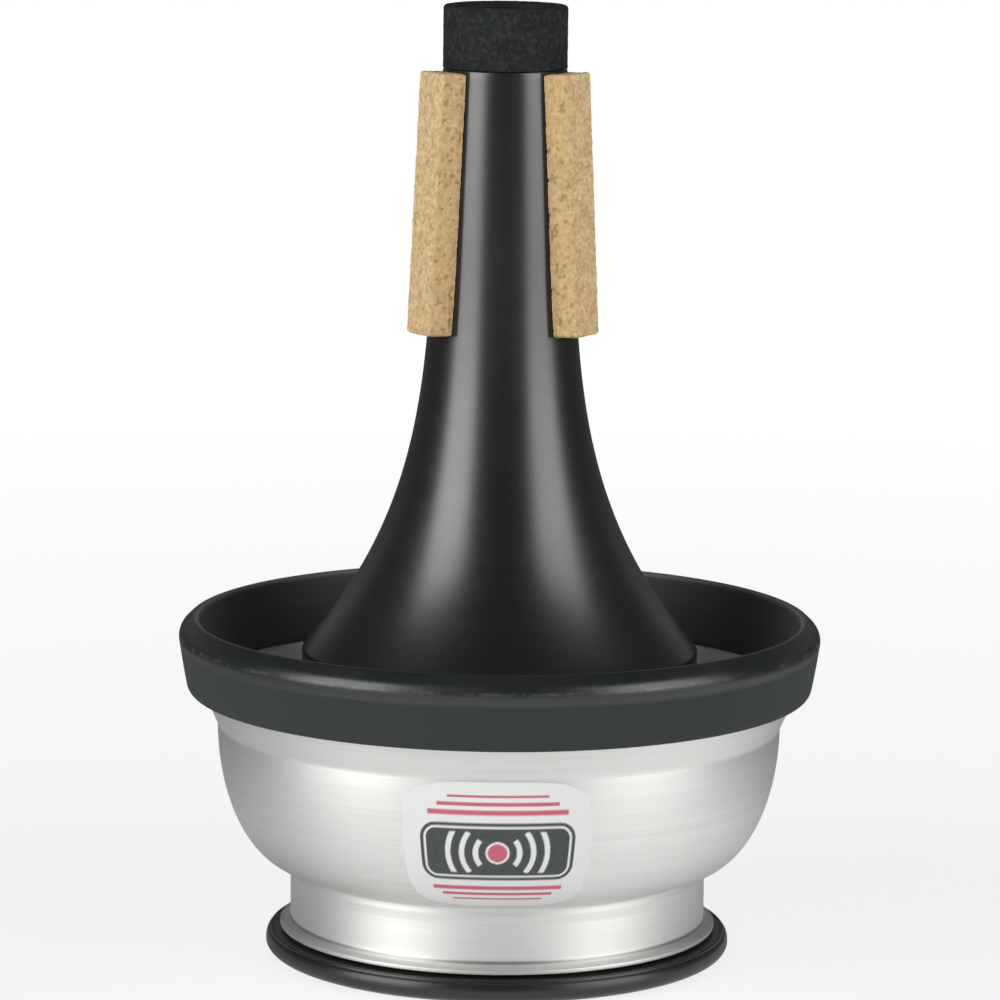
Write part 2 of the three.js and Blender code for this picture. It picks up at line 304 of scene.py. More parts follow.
def maths(tree, operation, first, second=0.0):
    # one operation on two values, or on the first alone
    return addNode(tree, "ShaderNodeMath", {0: first, 1: second}, operation=operation).outputs[0]


def product(tree, first, *others):
    # the first value times each of the others in turn
    for other in others:
        first = maths(tree, "MULTIPLY", first, other)
    return first


def sharedOut(tree, shares, *values):
    # the sum of each value times its share
    total, *others = [product(tree, value, share) for value, share in zip(values, shares)]
    for other in others:
        total = maths(tree, "ADD", total, other)
    return total


def metres(lengths):
    # millimetres made metres
    return tuple(length * mm for length in lengths)


def objectPlace(tree):
    # where a point lies on its piece, in metres
    return addNode(tree, "ShaderNodeTexCoord").outputs["Object"]


def partsOf(tree, vector):
    # X, Y and Z of a vector
    return addNode(tree, "ShaderNodeSeparateXYZ", {0: vector}).outputs[:]


def radiusOf(tree, place):
    # distance from the axis, in metres
    x, y, _ = partsOf(tree, place)
    flat = addNode(tree, "ShaderNodeCombineXYZ", {0: x, 1: y}).outputs[0]
    return addNode(tree, "ShaderNodeVectorMath", {0: flat}, operation="LENGTH").outputs["Value"]


def noise(tree, vector, scale, detail=3.0, roughness=0.55):
    # smooth noise from about 0 to 1: scale is its cells to a metre, detail how many finer layers it
    # has, and roughness how strong they are
    return addNode(tree, "ShaderNodeTexNoise", {
        "Vector": vector, "Scale": scale, "Detail": detail, "Roughness": roughness,
    }).outputs["Fac"]


def turnedNoise(tree, across, around, detail):
    # marks left by turning: noise whose cells are small in radius and height, at the first scale, and
    # long in X, at the second, so that they run round the axis and fade in and out
    place = objectPlace(tree)
    x, _, height = partsOf(tree, place)
    drawnOut = addNode(tree, "ShaderNodeCombineXYZ", {
        0: product(tree, radiusOf(tree, place), across),
        1: product(tree, height, across),
        2: product(tree, x, around),
    })
    return noise(tree, drawnOut.outputs[0], 1.0, detail)


def span(tree, value, low, high, toLow, toHigh):
    # value from low to high, carried to toLow to toHigh and held there
    return addNode(tree, "ShaderNodeMapRange", {
        "Value": value, "From Min": low, "From Max": high, "To Min": toLow, "To Max": toHigh,
    }).outputs["Result"]


def nearRing(tree, place, ring, width, amount=1.0):
    # the amount on the ring of that [radius, height], fading to 0 at the width from it, in millimetres
    section = addNode(tree, "ShaderNodeCombineXYZ", {0: radiusOf(tree, place), 1: partsOf(tree, place)[2]})
    apart = addNode(tree, "ShaderNodeVectorMath", {
        0: section.outputs[0], 1: (*metres(ring), 0),
    }, operation="DISTANCE")
    return span(tree, apart.outputs["Value"], 0.0, width * mm, amount, 0.0)


def markOf(tree, name):
    # the number that the mesh carries under that name
    return addNode(tree, "ShaderNodeAttribute", attribute_name=name).outputs["Fac"]


def blendColours(tree, factor, first, second):
    # the first colour where the factor is 0, the second where it is 1
    first, second = (
        colour if isinstance(colour, bpy.types.NodeSocket) else (*colour, 1) for colour in (first, second)
    )
    inputs = {"Factor": factor, "A": first, "B": second}
    return addNode(tree, "ShaderNodeMix", inputs, data_type="RGBA").outputs["Result"]


def bump(tree, shader, height, distance):
    # relief: where the height is 1 the surface stands out by the distance, in metres
    node = addNode(tree, "ShaderNodeBump", {"Height": height, "Distance": distance})
    tree.links.new(node.outputs["Normal"], shader.inputs["Normal"])


# In the values of the materials a noise is (scale, detail) or (scale, detail, roughness), and marks of
# turning are (scale across them, scale along them, detail). A range is the part of a noise, or of a
# sum of noises, over which a colour or the roughness changes.


lacquerValues = {
    "colour": (0.0032, 0.0046, 0.0016),
    "roughness": (0.285, 0.37),
    "turnedMarks": (260, 20, 4.0),
    "fineNoise": (900, 2.0),
    "driftShares": (0.6, 0.4),      # of the two in what drifts
    "driftRange": (0.35, 0.65),
    "specular": 0.5,
    "coat": 1.0,
    "coatRoughness": 0.29,
    "coatIndex": 1.6,
    "peelNoise": (950, 2.0),
    "peelDepth": 0.000012,
    "dullInside": 9.95,             # inside this radius, in millimetres, the shell is dull
    "dullRoughness": 0.7,
    # a dull band beside the cork strips, without coat, is painted shade of the strips
    "corkShadeHeights": (122.9, 173.4),  # of the cork strips' feet and tops
    "corkShadeEdges": (5.6, 5.05),       # how far from a strip's middle the painted shade shows, at those heights
    "corkShadeSoftness": 0.35,
}


def lacquerMaterial(values):
    # black lacquer: a fine orange peel, a roughness that drifts along the spun wall, a dull inside, and
    # painted shade beside the three corks, a dull band without coat, whose distance from a point is radius
    # times the sine of the angle to the nearest of them; the first stands at a quarter turn, the others a
    # third of a turn on
    material, tree, shader = newMaterial("blackLacquer")
    place = objectPlace(tree)
    x, y, height = partsOf(tree, place)
    radius = radiusOf(tree, place)
    drift = sharedOut(tree, values["driftShares"],
                      turnedNoise(tree, *values["turnedMarks"]), noise(tree, place, *values["fineNoise"]))
    inside = maths(tree, "LESS_THAN", radius, values["dullInside"] * mm)
    azimuth = maths(tree, "ARCTAN2", y, x)
    nearest = maths(tree, "PINGPONG", maths(tree, "SUBTRACT", azimuth, np.pi / 2), np.pi / 3)
    aside = product(tree, radius, maths(tree, "SINE", nearest))
    low, high = metres(values["corkShadeHeights"])
    edge = span(tree, height, low, high, *metres(values["corkShadeEdges"]))
    # painted shade beside the cork strips: full inside the edge, fading out over the softness
    corkShade = span(tree, maths(tree, "SUBTRACT", aside, edge), 0.0, values["corkShadeSoftness"] * mm, 1.0, 0.0)
    corkShade = product(tree, corkShade, maths(tree, "GREATER_THAN", height, low),
                   maths(tree, "LESS_THAN", height, high))
    dull = maths(tree, "MAXIMUM", inside, corkShade)
    setInputs(tree, shader, {
        "Base Color": (*values["colour"], 1),
        "Specular IOR Level": values["specular"],
        "Roughness": maths(tree, "MAXIMUM", span(tree, drift, *values["driftRange"], *values["roughness"]),
                           product(tree, dull, values["dullRoughness"])),
        "Coat Weight": maths(tree, "SUBTRACT", values["coat"], dull),
        "Coat Roughness": values["coatRoughness"],
        "Coat IOR": values["coatIndex"],
    })
    bump(tree, shader, noise(tree, place, *values["peelNoise"]), values["peelDepth"])
    return material


aluminiumValues = {
    "colour": (0.80, 0.795, 0.78),
    "darkColour": (0.74, 0.735, 0.72),
    "roughness": (0.48, 0.56),
    "anisotropic": 0.4,
    "glossTurn": 0.25,              # of a turn, so that the gloss of lines round the axis spreads up and down
    "lineMarks": (4200, 24, 2.0),
    "bandMarks": (500, 10, 3.0),
    "markShares": (0.6, 0.4),       # of lines and bands
    "markRange": (0.36, 0.64),
    "lineDepth": 0.000004,
    "creasePlace": (40.9, 7.1),     # radius and height of the crease above the lip, where a line of shade is painted
    "creaseWidth": 0.45,
    "creaseShade": 0.75,
    # colour of the painted shade in the crease
    "creaseShadeColour": (0.16, 0.155, 0.15),
}


def aluminiumMaterial(name, values):
    # turned aluminium: fine lines and broader bands round the axis, in colour, gloss and relief, and
    # a painted shade, a dark line, in the crease above the lip
    material, tree, shader = newMaterial(name)
    lines = turnedNoise(tree, *values["lineMarks"])
    marks = sharedOut(tree, values["markShares"], lines, turnedNoise(tree, *values["bandMarks"]))
    tangent = addNode(tree, "ShaderNodeTangent", direction_type="RADIAL", axis="Z")
    # painted shade: a dark line in the crease above the lip, fading over its width
    paintedCreaseShade = nearRing(tree, objectPlace(tree), values["creasePlace"],
                     values["creaseWidth"], values["creaseShade"])
    bright = span(tree, marks, *values["markRange"], 0, 1)
    metal = blendColours(tree, bright, values["darkColour"], values["colour"])
    setInputs(tree, shader, {
        "Metallic": 1.0,
        "Base Color": blendColours(tree, paintedCreaseShade, metal, values["creaseShadeColour"]),
        "Roughness": span(tree, marks, *values["markRange"], *values["roughness"][::-1]),
        "Anisotropic": values["anisotropic"],
        "Anisotropic Rotation": values["glossTurn"],
        "Tangent": tangent.outputs[0],
    })
    bump(tree, shader, lines, values["lineDepth"])
    return material


rubberValues = {
    "colour": (0.0120, 0.0155, 0.0150),
    "cloudNoise": (60, 4.0),
    "dustColour": (0.045, 0.052, 0.050),
    "dustRange": (0.45, 0.75),
    "dustShare": 0.22,
    "roughness": (0.285, 0.35),
    "roughRange": (0.3, 0.7),
    "specular": 0.7,
    "grainNoise": (1500, 3.0),
    "grainDepth": 0.00003,
    # colour of the rubbed marks and of the painted highlight on the crest's inner edge
    "rubAndHighlightColour": (0.150, 0.160, 0.155),
    "rubShare": 0.6,
    "patchNoise": (170, 5.0, 0.7),  # breaks the worn line up
    "patchRange": (0.46, 0.66),
    "wornHeight": 63.3,             # height of the mould line, in millimetres
    "wornWidth": 0.45,
    "wornFrom": 60.5,               # the worn line is only outside this radius
    "crestPlace": (59.05, 66.2),    # radius and height of the crest's inner edge, painted paler: partly rubbed, partly a painted highlight
    "crestWidth": 0.9,
    "innerWall": (59.3, 58.6),      # radii between which the dull, dusty inner wall begins
    "innerColour": (0.060, 0.067, 0.060),
    "innerRoughness": 0.85,
    "faceHeights": (60.6, 62.2),    # between these the dull outer face passes into the ridge
    "faceRoughness": 0.95,
    "faceColour": (0.0240, 0.0300, 0.0290),
}


def rubAndHighlightMarks(tree, place, values):
    # how far the rubber is painted pale: a rubbed line that fades with the distance from the mould line's
    # height, broken into patches, and the crest's inner edge (rubbing and a painted highlight), whichever is
    # more
    height = partsOf(tree, place)[2]
    away = maths(tree, "ABSOLUTE", maths(tree, "SUBTRACT", height, values["wornHeight"] * mm))
    line = span(tree, away, 0.0, values["wornWidth"] * mm, 1.0, 0.0)
    outside = maths(tree, "GREATER_THAN", radiusOf(tree, place), values["wornFrom"] * mm)
    patches = span(tree, noise(tree, place, *values["patchNoise"]), *values["patchRange"], 0.0, 1.0)
    line = product(tree, line, outside, patches, values["rubShare"])
    return maths(tree, "MAXIMUM", line, nearRing(tree, place, values["crestPlace"], values["crestWidth"]))


def rubberMaterial(name, values, worn=True):
    # moulded rubber: a fine grain, faint dust and a duller, dustier inner wall; where it is worn, also
    # a dull outer face, and rubbed marks with a painted highlight on the crest's edge over everything else
    material, tree, shader = newMaterial(name)
    place = objectPlace(tree)
    cloud = noise(tree, place, *values["cloudNoise"])
    dust = span(tree, cloud, *values["dustRange"], 0.0, values["dustShare"])
    colour = blendColours(tree, dust, values["colour"], values["dustColour"])
    rough = span(tree, cloud, *values["roughRange"], *values["roughness"])
    if worn:
        face = span(tree, partsOf(tree, place)[2], *metres(values["faceHeights"]), 1.0, 0.0)
        colour = blendColours(tree, face, colour, values["faceColour"])
        rough = maths(tree, "MAXIMUM", rough, product(tree, face, values["faceRoughness"]))
    inner = span(tree, radiusOf(tree, place), *metres(values["innerWall"]), 0.0, 1.0)
    colour = blendColours(tree, inner, colour, values["innerColour"])
    rough = maths(tree, "MAXIMUM", rough, product(tree, inner, values["innerRoughness"]))
    if worn:
        # rubbed marks, and a painted highlight along the crest's inner edge
        colour = blendColours(tree, rubAndHighlightMarks(tree, place, values), colour, values["rubAndHighlightColour"])
    setInputs(tree, shader, {
        "Base Color": colour,
        "Roughness": rough,
        "Specular IOR Level": values["specular"],
    })
    bump(tree, shader, noise(tree, place, *values["grainNoise"]), values["grainDepth"])
    return material


collarValues = {
    "colour": (0.0100, 0.0130, 0.0112),
    "fleckColour": (0.038, 0.044, 0.040),
    "fleckNoise": (1050, 5.0, 0.65),
    "fleckRange": (0.47, 0.72),
    "roughness": 0.85,
    "specular": 0.3,
    "grainDepth": 0.00010,
}


def collarMaterial(values):
    # cellular rubber: dark ground with small paler flecks where cells are cut open
    material, tree, shader = newMaterial("cellularRubber")
    flecks = noise(tree, objectPlace(tree), *values["fleckNoise"])
    pale = span(tree, flecks, *values["fleckRange"], 0, 1)
    setInputs(tree, shader, {
        "Base Color": blendColours(tree, pale, values["colour"], values["fleckColour"]),
        "Roughness": values["roughness"],
        "Specular IOR Level": values["specular"],
    })
    bump(tree, shader, flecks, values["grainDepth"])
    return material


corkColours = {
    "light": (0.76, 0.565, 0.330),
    "dark": (0.490, 0.318, 0.150),
    "mottleNoise": (600, 3.0, 0.6),
    "grainNoise": (1500, 2.0, 0.5),
    "granuleScale": 1600,
    "granuleSoftness": 0.5,
    "granuleRange": (0.15, 0.85),
    "granuleShade": (0.3, 0.7),         # of a granule at either end of its range
    "shadeShares": (0.3, 0.3, 0.4),     # of mottle, grain and granules
    "shadeRange": (0.38, 0.62),
    "pit": (0.30, 0.185, 0.085),
    "speckScale": 1800,
    "speckWidth": 0.09,                 # as a share of a cell
    "speckShare": 0.28,                 # of the pits' colour where the mottle is darkest
    "speckRange": (0.40, 0.52),
    "cutTint": (0.66, 0.44, 0.195),     # the cut sides lean towards this colour
    "cutShare": 0.35,
    "roughness": 0.92,
    "specular": 0.2,
    "grainDepth": 0.00007,
}


def corkMaterial(values):
    # pressed cork: mottle, grain and soft granules, added, choose a shade between two tans; specks lie
    # on the edges of cells where the mottle is dark, and the mesh's marks give the cut sides and pits
    material, tree, shader = newMaterial("cork")
    place = objectPlace(tree)
    mottle = noise(tree, place, *values["mottleNoise"])
    grain = noise(tree, place, *values["grainNoise"])
    granules = addNode(tree, "ShaderNodeTexVoronoi", {
        "Vector": place, "Scale": values["granuleScale"], "Smoothness": values["granuleSoftness"],
    }, feature="SMOOTH_F1").outputs["Color"]
    granule = span(tree, granules, *values["granuleRange"], *values["granuleShade"])
    shade = sharedOut(tree, values["shadeShares"], mottle, grain, granule)
    tan = blendColours(tree, span(tree, shade, *values["shadeRange"], 0, 1), values["dark"], values["light"])
    tan = blendColours(tree, product(tree, markOf(tree, "cut"), values["cutShare"]), tan, values["cutTint"])
    toEdge = addNode(tree, "ShaderNodeTexVoronoi", {
        "Vector": place, "Scale": values["speckScale"],
    }, feature="DISTANCE_TO_EDGE").outputs["Distance"]
    thin = span(tree, toEdge, 0.0, values["speckWidth"], 1.0, 0.0)
    speck = product(tree, thin, span(tree, mottle, *values["speckRange"], values["speckShare"], 0.0))
    pitted = maths(tree, "MAXIMUM", markOf(tree, "pit"), speck)
    setInputs(tree, shader, {
        "Base Color": blendColours(tree, pitted, tan, values["pit"]),
        "Roughness": values["roughness"],
        "Specular IOR Level": values["specular"],
    })
    bump(tree, shader, shade, values["grainDepth"])
    return material


feltValues = {
    "colour": (0.035, 0.036, 0.037),
    "lint": (0.09, 0.09, 0.09),
    "fibreNoise": (2500, 6.0, 0.75),
    "fibreRange": (0.4, 0.7),
    "roughness": 1.0,
    "specular": 0.1,
    "fibreDepth": 0.0002,
}


def feltMaterial(values):
    # thin felt: tangled fibres in two dark greys
    material, tree, shader = newMaterial("felt")
    fibres = noise(tree, objectPlace(tree), *values["fibreNoise"])
    pale = span(tree, fibres, *values["fibreRange"], 0, 1)
    setInputs(tree, shader, {
        "Base Color": blendColours(tree, pale, values["colour"], values["lint"]),
        "Roughness": values["roughness"],
        "Specular IOR Level": values["specular"],
    })
    bump(tree, shader, fibres, values["fibreDepth"])
    return material


labelColours = {
    "paper": (0.84, 0.84, 0.835),
    "charcoal": (0.050, 0.060, 0.060),
    "fadedCharcoal": (0.16, 0.17, 0.17),
    "red": (0.60, 0.135, 0.185),
    "mottleNoise": (1400, 4.0, 0.7),
    "mottleRange": (0.35, 0.75),
    "mottleShare": 0.22,
    "roughness": 0.42,
    "specular": 0.4,
}


def labelMaterial(values):
    # printed film: the mesh's two marks say where the charcoal, faintly mottled, and the red are
    material, tree, shader = newMaterial("printedFilm")
    mottle = noise(tree, objectPlace(tree), *values["mottleNoise"])
    faded = span(tree, mottle, *values["mottleRange"], 0.0, values["mottleShare"])
    ink = blendColours(tree, faded, values["charcoal"], values["fadedCharcoal"])
    printed = blendColours(tree, markOf(tree, "charcoal"), values["paper"], ink)
    setInputs(tree, shader, {
        "Base Color": blendColours(tree, markOf(tree, "red"), printed, values["red"]),
        "Roughness": values["roughness"],
        "Specular IOR Level": values["specular"],
    })
    return material


lacquer = lacquerMaterial(lacquerValues)
cupAluminium = aluminiumMaterial("cupAluminium", aluminiumValues)
plateAluminium = aluminiumMaterial("plateAluminium", {**aluminiumValues, "bandMarks": (900, 10, 3.0)})
rimRubber = rubberMaterial("rimRubber", rubberValues)
baseRubber = rubberMaterial("baseRubber", {
    **rubberValues, "colour": (0.010, 0.012, 0.0115), "dustColour": (0.022, 0.025, 0.024),
    "roughness": (0.285, 0.345), "specular": 0.6,
    "innerWall": (44.05, 43.9), "innerColour": (0.030, 0.034, 0.026), "innerRoughness": 0.0,
}, worn=False)
cellular = collarMaterial(collarValues)
cork = corkMaterial(corkColours)
felt = feltMaterial(feltValues)
film = labelMaterial(labelColours)
print("materials made")


# Cone

coneValues = {
    "wall": 0.8,
    "bend": 0.5,
    "ledgeBend": 0.1,
    "flangeWidth": 4.55,
    "barrelLength": 56.6,
    "shoulderBend": 1.7,
    "flareLength": 81,
    "flarePower": 3.2,
    "flarePoints": 61,
    "pointPower": 1.2,  # above 1, the points stand closer together near the shoulder
    "neckRadius": 11.95,
    "neckLength": 113.7,
    "neckTaper": 0.048,
    "spigotRadius": 10.4,
    "edge": 0.25,
    "spacing": 1.3,
}


def barrelRadius(values):
    # the cone's reach less the flange's width
    return reach("cone_body") - values["flangeWidth"]


def shoulderHeight(values):
    # the foot, the flange's wall and the barrel's length, added
    return foot("cone_body") + values["wall"] + values["barrelLength"]


def ledgeHeight(values):
    # the neck's length above the shoulder
    return shoulderHeight(values) + values["neckLength"]


def neckRadius(height, values):
    # a straight taper down from the ledge, plus a power of the depth below the flare's top that
    # grows from nothing to what is missing at the shoulder
    shoulder, ledge = shoulderHeight(values), ledgeHeight(values)
    taper = values["neckRadius"] + values["neckTaper"] * (ledge - height)
    missing = barrelRadius(values) - values["neckRadius"] - values["neckTaper"] * values["neckLength"]
    below = np.clip(1 - (height - shoulder) / values["flareLength"], 0, None)
    return taper + missing * below ** values["flarePower"]


def makeCone(values):
    # one even wall along the flange, the barrel, the shoulder, the flare and neck, the ledge and the spigot
    flangeTop = foot("cone_body") + values["wall"]
    barrel = barrelRadius(values)
    shoulder, ledge = shoulderHeight(values), ledgeHeight(values)
    share = np.linspace(0, 1, values["flarePoints"])[1:] ** values["pointPower"]
    heights = shoulder + values["flareLength"] * share
    corners = [
        [reach("cone_body"), flangeTop],
        [barrel, flangeTop, values["bend"]],
        [barrel, shoulder, values["shoulderBend"]],
        *np.column_stack([neckRadius(heights, values), heights]).tolist(),
        [values["neckRadius"], ledge, values["ledgeBend"]],
        [values["spigotRadius"], ledge, values["bend"]],
        [values["spigotRadius"], top("cone_body")],
    ]
    path, inner = spunSheet(corners, values["wall"])
    profile = finely(edgeRounded(path, inner, values["edge"]), values["spacing"])
    piece = lathe("coneShell", profile, lacquer)
    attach(piece, "body")
    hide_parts("cone_body")


makeCone(coneValues)
print("cone made")


# Nose collar

noseValues = {
    "gap": 0.05,        # to the spigot, and past the ledge's edge
    "sink": 0.15,       # its foot is this far below the ledge's top
    "thinner": 0.12,    # than its node, which leaves room for the uneven skin
    "rounding": 0.7,
    "skirt": 0.35,      # height of the spread foot, and again of the slope above it
    "skirtRounding": 0.1,
    "footRounding": 0.03,
    "roughness": 0.04,
    "cell": 0.5,
    "seed": 3,
    "spacing": 0.3,
    "columns": 240,
    "sharpAngle": 70,
}


def roughened(points, amount, cell, seed):
    # every point of a closed grid moved along its own normal by a noise and half as much of one half
    # its size
    along = np.roll(points, -1, axis=0) - np.roll(points, 1, axis=0)
    across = np.roll(points, -1, axis=1) - np.roll(points, 1, axis=1)
    rough = pointNoise(points, cell, seed) + 0.5 * pointNoise(points, cell / 2, seed + 1)
    return points + outwards(along, across) * (amount * rough)[..., None]


def makeNoseCollar(values):
    # a soft ring round the spigot, its top edges well rounded, its foot spread a little over the ledge
    # and its skin uneven
    low, high = ledgeHeight(coneValues) - values["sink"], top("nose_collar")
    inside = coneValues["spigotRadius"] + values["gap"]
    outside = reach("nose_collar") - values["thinner"]
    skirt = coneValues["neckRadius"] + values["gap"]
    profile = roundedPath([
        [inside, low],
        [skirt, low, values["footRounding"]],
        [skirt, low + values["skirt"], values["skirtRounding"]],
        [outside, low + 2 * values["skirt"], values["skirtRounding"]],
        [outside, high, values["rounding"]],
        [inside, high, values["rounding"] / 2],
    ], closed=True)
    piece = lathe("noseCollar", finely(profile, values["spacing"]), cellular, values["columns"],
                  shape=lambda points: roughened(points, values["roughness"], values["cell"], values["seed"]),
                  sharpAngle=values["sharpAngle"])
    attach(piece, "body")
    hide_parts("nose_collar")


makeNoseCollar(noseValues)
print("nose collar made")


# Cork strips

corkValues = {
    "thickness": 4.5,
    "width": 9.4,
    "length": 50.5,
    "drop": 0.5,        # below the neck's ledge
    "rounding": 0.75,
    "endRounding": 0.7,
    "bed": 0.08,        # clearance to the neck
    "bedPoints": 24,
    "step": 0.19,       # grid spacing
    "capRings": 14,
    "capPower": 0.8,    # below 1 the end caps' rings stand closer at the edge
    "cutDepth": 0.5,    # how far in from a cut side its mark fades out
    "pitCells": (0.95, 0.60),
    "pitSpan": 1.4,     # what the two sizes of noise, added, are divided by
    "pitSoftness": 0.3,
    "sidePits": 0.40,   # pits show where the noise is above this on the cut sides
    "facePits": 0.75,   # and above this elsewhere
    "pitDepth": 0.18,
    "pitShade": 0.6,    # the pits' mark for the material, at its most
    "waveCell": 1.3,
    "wave": 0.08,
    "grainCell": 0.5,
    "grain": 0.05,
    "seeds": {"pit": 7, "grain": 30, "wave": 40},
    "pitSeedStep": 10,
    "sharpAngle": 80,
    "turns": {"cork_left": -150, "cork_right": -30, "cork_back": 90},  # degrees from +X
}


def corkSection(outer, neck, values, count):
    # one loop of [radial, across] points: flat outside, square sides, and an inside that follows
    # the neck's circle, r = sqrt(neck^2 - t^2); evenly spaced along its length
    half = values["width"] / 2
    across = np.linspace(half, -half, values["bedPoints"])
    bed = np.column_stack([np.sqrt(neck ** 2 - across ** 2), across])
    edge = roundedPath([
        [bed[-1, 0], -half], [outer, -half, values["rounding"]],
        [outer, half, values["rounding"]], [bed[0, 0], half],
    ])
    loop = np.concatenate([edge, bed[1:-1], edge[:1]])
    length = lengthAlong(loop)
    places = np.linspace(0, length[-1], count, endpoint=False)
    return np.column_stack([np.interp(places, length, loop[:, 0]), np.interp(places, length, loop[:, 1])])


def corkGrid(values):
    # the section carried from the foot to the top of the strip, leaning with the neck; near each end it
    # shrinks by a quarter round, and then it is drawn in to a point, which makes the two square ends
    high = ledgeHeight(coneValues) - values["drop"]
    low = high - values["length"]
    footReach, topReach = (neckRadius(h, coneValues) + values["thickness"] for h in (low, high))
    rows = int(values["length"] / values["step"])
    count = int(2 * (values["width"] + values["thickness"]) / values["step"])
    share = np.linspace(0, 1, rows)
    outer = footReach + (topReach - footReach) * share
    neck = neckRadius(low + values["length"] * share, coneValues) + values["bed"]
    sections = np.stack([corkSection(o, n, values, count) for o, n in zip(outer, neck)])
    lean = (footReach - topReach) / values["length"]
    height = low + values["length"] * share[:, None] + lean * (sections[..., 0] - outer[:, None])
    body = np.dstack([sections, height])
    nearness = np.clip(1 - values["length"] * np.minimum(share, 1 - share) / values["endRounding"], 0, 1)
    inward = values["endRounding"] * (1 - np.sqrt(1 - nearness ** 2))
    middle = body.mean(axis=1, keepdims=True)
    body = middle + (body - middle) * (1 - 2 * inward / values["width"])[:, None, None]
    shrink = np.linspace(0, 1, values["capRings"] + 1)[:-1] ** values["capPower"]

    def cap(loop, factors):
        # the loop drawn in towards its own middle by each factor
        centre = loop.mean(axis=0)
        return centre + (loop - centre) * factors[:, None, None]

    lowCap, highCap = cap(body[0], shrink), cap(body[-1], shrink[::-1])
    return np.concatenate([lowCap, body, highCap])


def cutShare(points, values):
    # 1 on the cut sides, falling evenly to 0 at the cut's depth
    return np.clip(1 - (values["width"] / 2 - np.abs(points[..., 1])) / values["cutDepth"], 0, 1)


def pitMarks(points, values, seed):
    # depth of the pits at each point, from 0 to 1: how far two sizes of noise, added, stand above a
    # level that is lower on the cut sides than on the sanded face
    side = cutShare(points, values)
    coarse, fine = (pointNoise(points, cell, seed + n) for n, cell in enumerate(values["pitCells"]))
    level = values["facePits"] + (values["sidePits"] - values["facePits"]) * side
    return np.clip(((coarse + fine) / values["pitSpan"] - level) / values["pitSoftness"], 0, 1)


def makeCorks(values):
    # each strip's points move along their normals by the grain, the waves and the pits, inwards only,
    # and then round the axis to the strip's place: x' = x cos a - y sin a, y' = x sin a + y cos a
    seeds = values["seeds"]
    for index, (node, degrees) in enumerate(values["turns"].items()):
        grid = corkGrid(values)
        pits = pitMarks(grid, values, values["pitSeedStep"] * index + seeds["pit"])
        cut = cutShare(grid, values)
        across = np.roll(grid, -1, axis=1) - np.roll(grid, 1, axis=1)
        normal = outwards(np.gradient(grid, axis=0), across)
        grain = values["grain"] * pointNoise(grid, values["grainCell"], seeds["grain"] + index)
        wave = values["wave"] * pointNoise(grid, values["waveCell"], seeds["wave"] + index)
        depth = grain + wave - values["grain"] - values["wave"] - values["pitDepth"] * pits
        grid = grid + normal * depth[..., None]
        turn = np.radians(degrees)
        spin = np.array([[np.cos(turn), np.sin(turn), 0], [-np.sin(turn), np.cos(turn), 0], [0, 0, 1]])
        mesh = gridMesh(node, grid @ spin, closedAlong=False)
        addMark(mesh, "pit", pits * values["pitShade"])
        addMark(mesh, "cut", cut)
        closePoles(mesh)
        first, second = node.split("_")
        piece = addPiece(first + second.capitalize(), mesh, cork, values["sharpAngle"])
        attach(piece, "body")
        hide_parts(node)


makeCorks(corkValues)
print("cork strips made")


# End plate

plateValues = {
    "wall": 0.8,
    "gap": 0.3,     # to the barrel's inside
    "step": 3.0,
    "crown": 1.3,
    "centre": 12,   # radius of the flat middle
    "centreBend": 6,
    "bend": 0.5,
    "spacing": 1.2,
}


def makeEndPlate(values):
    # a spun plate: a flat middle, a slope to a step down inside the barrel, and a flange outwards
    low = foot("end_plate")
    stepRadius = barrelRadius(coneValues) - coneValues["wall"] - values["gap"] - values["wall"]
    stepHeight = low + values["step"]
    underside = [
        [0, stepHeight + values["crown"]],
        [values["centre"], stepHeight + values["crown"], values["centreBend"]],
        [stepRadius, stepHeight, values["bend"]],
        [stepRadius, low, values["bend"]],
        [reach("end_plate"), low],
    ]
    path, inner = spunSheet(underside, values["wall"])
    inner[0, 0] = 0
    profile = finely(np.concatenate([path, inner[::-1]]), values["spacing"], closed=False)
    piece = lathe("endPlate", profile, plateAluminium, closed=False)
    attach(piece, "body")
    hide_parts("end_plate")


makeEndPlate(plateValues)
print("end plate made")


# Base ring

baseValues = {
    "foot": 1.4,                # thickness under the slot
    "lip": 1.0,                 # thickness above it
    "rim": 2.0,                 # thickness outside it
    "footWidth": 3.0,
    "gap": 0.3,
    "footRounding": 0.3,
    "footInsideRounding": 0.2,
    "slotRounding": 0.1,
    "shelf": 4.4,               # height of the flat beside the cup's lip
    "shelfRounding": 0.15,
    "bead": (44.1, 44.7),       # inner and outer radius of the small bead
    "beadHeight": 4.6,
    "beadSlope": 0.1,
    "beadRounding": 0.3,
    "groove": (44.78, 3.95),    # radius and height of the fine line outside it
    "grooveRounding": 0.05,
    "rollHeight": 4.1,
    "upper": (0.72, 1.9),       # width and height of the roll's upper quarter
    "lowerWidth": 2.8,          # how far its lower quarter draws in under the side
    "quarterPoints": 10,
    "spacing": 0.7,
}


